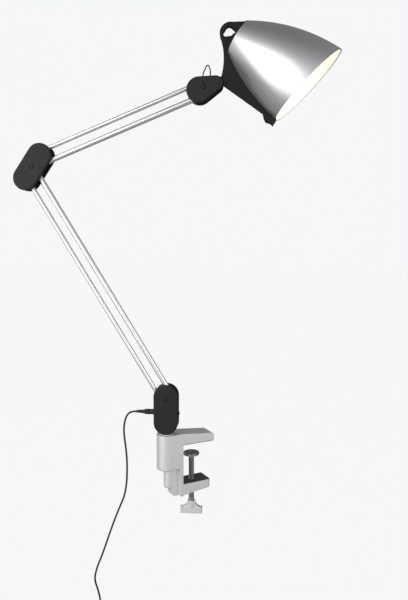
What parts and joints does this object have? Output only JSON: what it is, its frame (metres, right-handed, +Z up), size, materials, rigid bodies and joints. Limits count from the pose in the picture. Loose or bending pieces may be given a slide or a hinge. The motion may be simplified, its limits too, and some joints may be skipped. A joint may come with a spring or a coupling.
{
  "type": "architect desk lamp",
  "caption": "Clamp-on architect desk lamp: jointed double-tube arms between black housings, silver bell shade on a black spine, low-voltage lead with a wall adapter.",
  "frame": {"origin": "the face under the upper jaw that rests on the table top, on the clamp screw's axis", "axes": "+X towards the head, in the plane that the arms move in; +Y away from the front covers; +Z up"},
  "size_m": [0.5338, 0.1426, 1.1498],
  "materials": {
    "silver_cast": "satin silver paint on a casting",
    "pad_rubber": "matte",
    "screw_steel": "bright zinc plated",
    "nylon_white": "natural nylon",
    "housing_black": "fine moulded texture",
    "screw_black": "black oxide",
    "gloss_black": "smooth",
    "board_green": "solder resist",
    "tube_aluminium": "bright drawn and polished",
    "cord_black": "soft vinyl",
    "shade_silver": "satin silver lacquer",
    "reflector_white": "warm white",
    "diffuser_opal": "opal",
    "adapter_black": "fine texture",
    "blade_brass": "plated"
  },
  "bodies": {
    "clamp": {"clamp_body": "silver_cast", "jaw_pad": "pad_rubber", "lower_jaw_liner": "pad_rubber", "socket_bush": "nylon_white"},
    "plate": {"pressure_plate": "screw_steel"},
    "screw": {"clamp_screw": "screw_steel", "thumb_handle": "silver_cast"},
    "base": {"base_front_cover": "housing_black", "base_rear_cover": "housing_black", "base_cheeks": "screw_steel", "base_screws": "screw_black", "base_pins": "screw_steel", "base_washers": "nylon_white", "base_frame": "housing_black", "base_foot": "screw_steel", "swivel_post": "screw_steel", "dc_jack": "gloss_black", "switch_bezel": "gloss_black", "driver_board": "board_green", "dc_plug": "cord_black", "plug_strain_relief": "cord_black", "power_cord": "cord_black", "cord_coil": "cord_black", "cord_tie": "cord_black", "cord_tail": "cord_black", "wall_adapter": "adapter_black", "adapter_blades": "blade_brass"},
    "switch": {"switch_rocker": "gloss_black"},
    "lower_arm": {"lower_main_tube": "tube_aluminium", "lower_main_ends": "tube_aluminium", "lower_main_wire": "cord_black"},
    "lower_link": {"lower_link_tube": "tube_aluminium", "lower_link_ends": "tube_aluminium"},
    "elbow": {"elbow_front_cover": "housing_black", "elbow_rear_cover": "housing_black", "elbow_cheeks": "screw_steel", "elbow_screws": "screw_black", "elbow_pins": "screw_steel", "elbow_washers": "nylon_white", "elbow_frame": "housing_black"},
    "upper_arm": {"upper_main_tube": "tube_aluminium", "upper_main_ends": "tube_aluminium", "upper_main_wire": "cord_black"},
    "upper_link": {"upper_link_tube": "tube_aluminium", "upper_link_ends": "tube_aluminium"},
    "neck": {"neck_front_cover": "housing_black", "neck_rear_cover": "housing_black", "neck_cheeks": "screw_steel", "neck_screws": "screw_black", "neck_pins": "screw_steel", "neck_washers": "nylon_white", "head_lead": "cord_black"},
    "head": {"shade_bracket": "housing_black", "shade": "shade_silver", "shade_reflector": "reflector_white", "heat_sink": "tube_aluminium", "led_board": "reflector_white", "led_diffuser": "diffuser_opal", "bracket_screws": "screw_black", "rim_screw": "screw_black"}
  },
  "joints": [
    {"name": "clamp_travel", "type": "slide", "parent": "clamp", "child": "plate", "axis": [0, 0, 1], "range_m": [-0.034, 0.018]},
    {"name": "screw_turn", "type": "hinge", "parent": "plate", "child": "screw", "pos_m": [0, 0, -0.06], "axis": [0, 0, 1], "range_deg": [-8280, 4380]},
    {"name": "swivel", "type": "hinge", "parent": "clamp", "child": "base", "pos_m": [-0.03942, -0.0256, 0.02], "axis": [0, 0, 1], "range_deg": [-115, 115]},
    {"name": "switch_rock", "type": "hinge", "parent": "base", "child": "switch", "pos_m": [-0.02202, -0.0256, 0.0605], "axis": [0, 1, 0], "range_deg": [0, 17]},
    {"name": "lower_lift", "type": "hinge", "parent": "base", "child": "lower_arm", "pos_m": [-0.03482, -0.0256, 0.0954], "axis": [0, 1, 0], "range_deg": [-35, 40]},
    {"name": "lower_link_turn", "type": "hinge", "parent": "base", "child": "lower_link", "pos_m": [-0.04722, -0.0256, 0.077], "axis": [0, 1, 0], "range_deg": [-35, 40]},
    {"name": "elbow_level", "type": "hinge", "parent": "lower_arm", "child": "elbow", "pos_m": [-0.26003, -0.0256, 0.46873], "axis": [0, 1, 0], "range_deg": [-40, 35]},
    {"name": "upper_lift", "type": "hinge", "parent": "elbow", "child": "upper_arm", "pos_m": [-0.26003, -0.0256, 0.46873], "axis": [0, 1, 0], "range_deg": [-26, 38]},
    {"name": "upper_link_turn", "type": "hinge", "parent": "elbow", "child": "upper_link", "pos_m": [-0.25053, -0.0256, 0.49413], "axis": [0, 1, 0], "range_deg": [-26, 38]},
    {"name": "neck_level", "type": "hinge", "parent": "upper_arm", "child": "neck", "pos_m": [0.00998, -0.0256, 0.57455], "axis": [0, 1, 0], "range_deg": [-38, 26]},
    {"name": "head_tilt", "type": "hinge", "parent": "neck", "child": "head", "pos_m": [0.04386, -0.0256, 0.59586], "axis": [0, 1, 0], "range_deg": [-35, 60]}
  ],
  "couplings": [
    {"joint": "screw_turn", "follows": "clamp_travel", "rad_per_m": 4188.8},
    {"joint": "lower_link_turn", "follows": "lower_lift", "ratio": 1},
    {"joint": "elbow_level", "follows": "lower_lift", "ratio": -1},
    {"joint": "upper_link_turn", "follows": "upper_lift", "ratio": 1},
    {"joint": "neck_level", "follows": "upper_lift", "ratio": -1}
  ]
}
